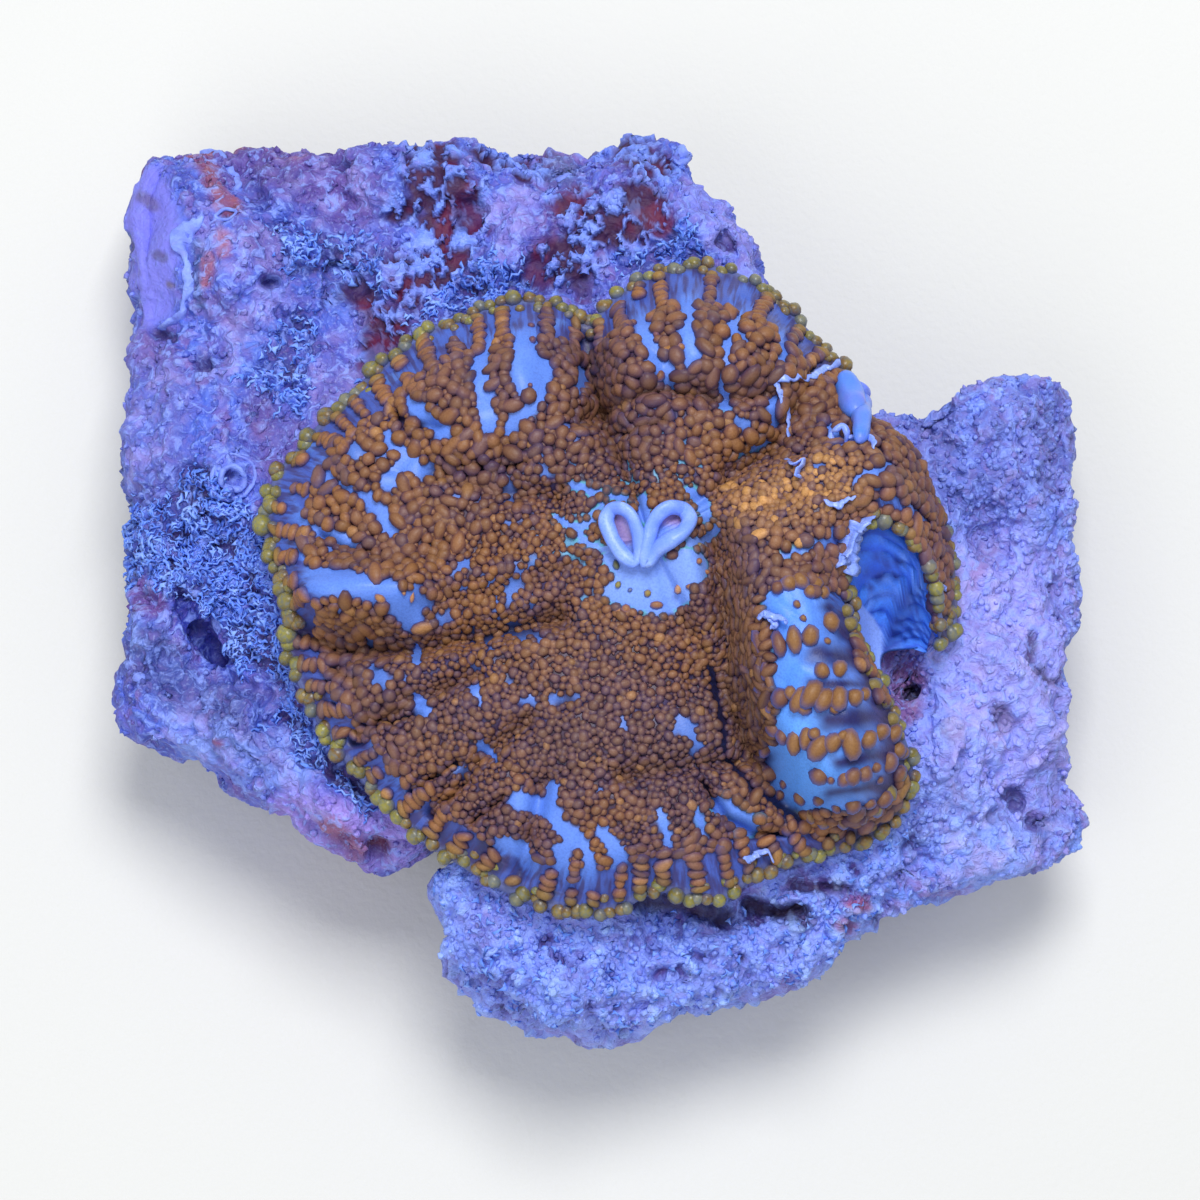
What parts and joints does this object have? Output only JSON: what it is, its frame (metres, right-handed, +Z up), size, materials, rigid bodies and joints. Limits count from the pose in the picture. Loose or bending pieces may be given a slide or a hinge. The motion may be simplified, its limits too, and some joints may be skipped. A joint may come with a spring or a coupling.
{
  "type": "mushroom coral",
  "caption": "Ruffled mushroom coral polyp studded with bead-like tentacles, spread over loose pieces of encrusted reef rubble.",
  "frame": {"origin": "on the flat underside the stones rest on, under the middle of the object's box", "axes": "+Z up out of the polyp's mouth side, +X towards the right-hand stone, -Y towards the viewer's end, where the polyp's front edge overhangs the right-hand stone"},
  "size_m": [0.0768, 0.0727, 0.0328],
  "materials": {
    "polyp": "wet soft tissue, blue skin studded with orange-brown beads and a yellow-green rim",
    "left_rock": "lilac-blue coralline crust with turf fuzz, crimson and orange patches",
    "right_rock": "pebbly pink-lilac coralline crust"
  },
  "bodies": {
    "root": {"polyp": "polyp", "left_rock": "left_rock", "right_rock": "right_rock"}
  },
  "joints": []
}
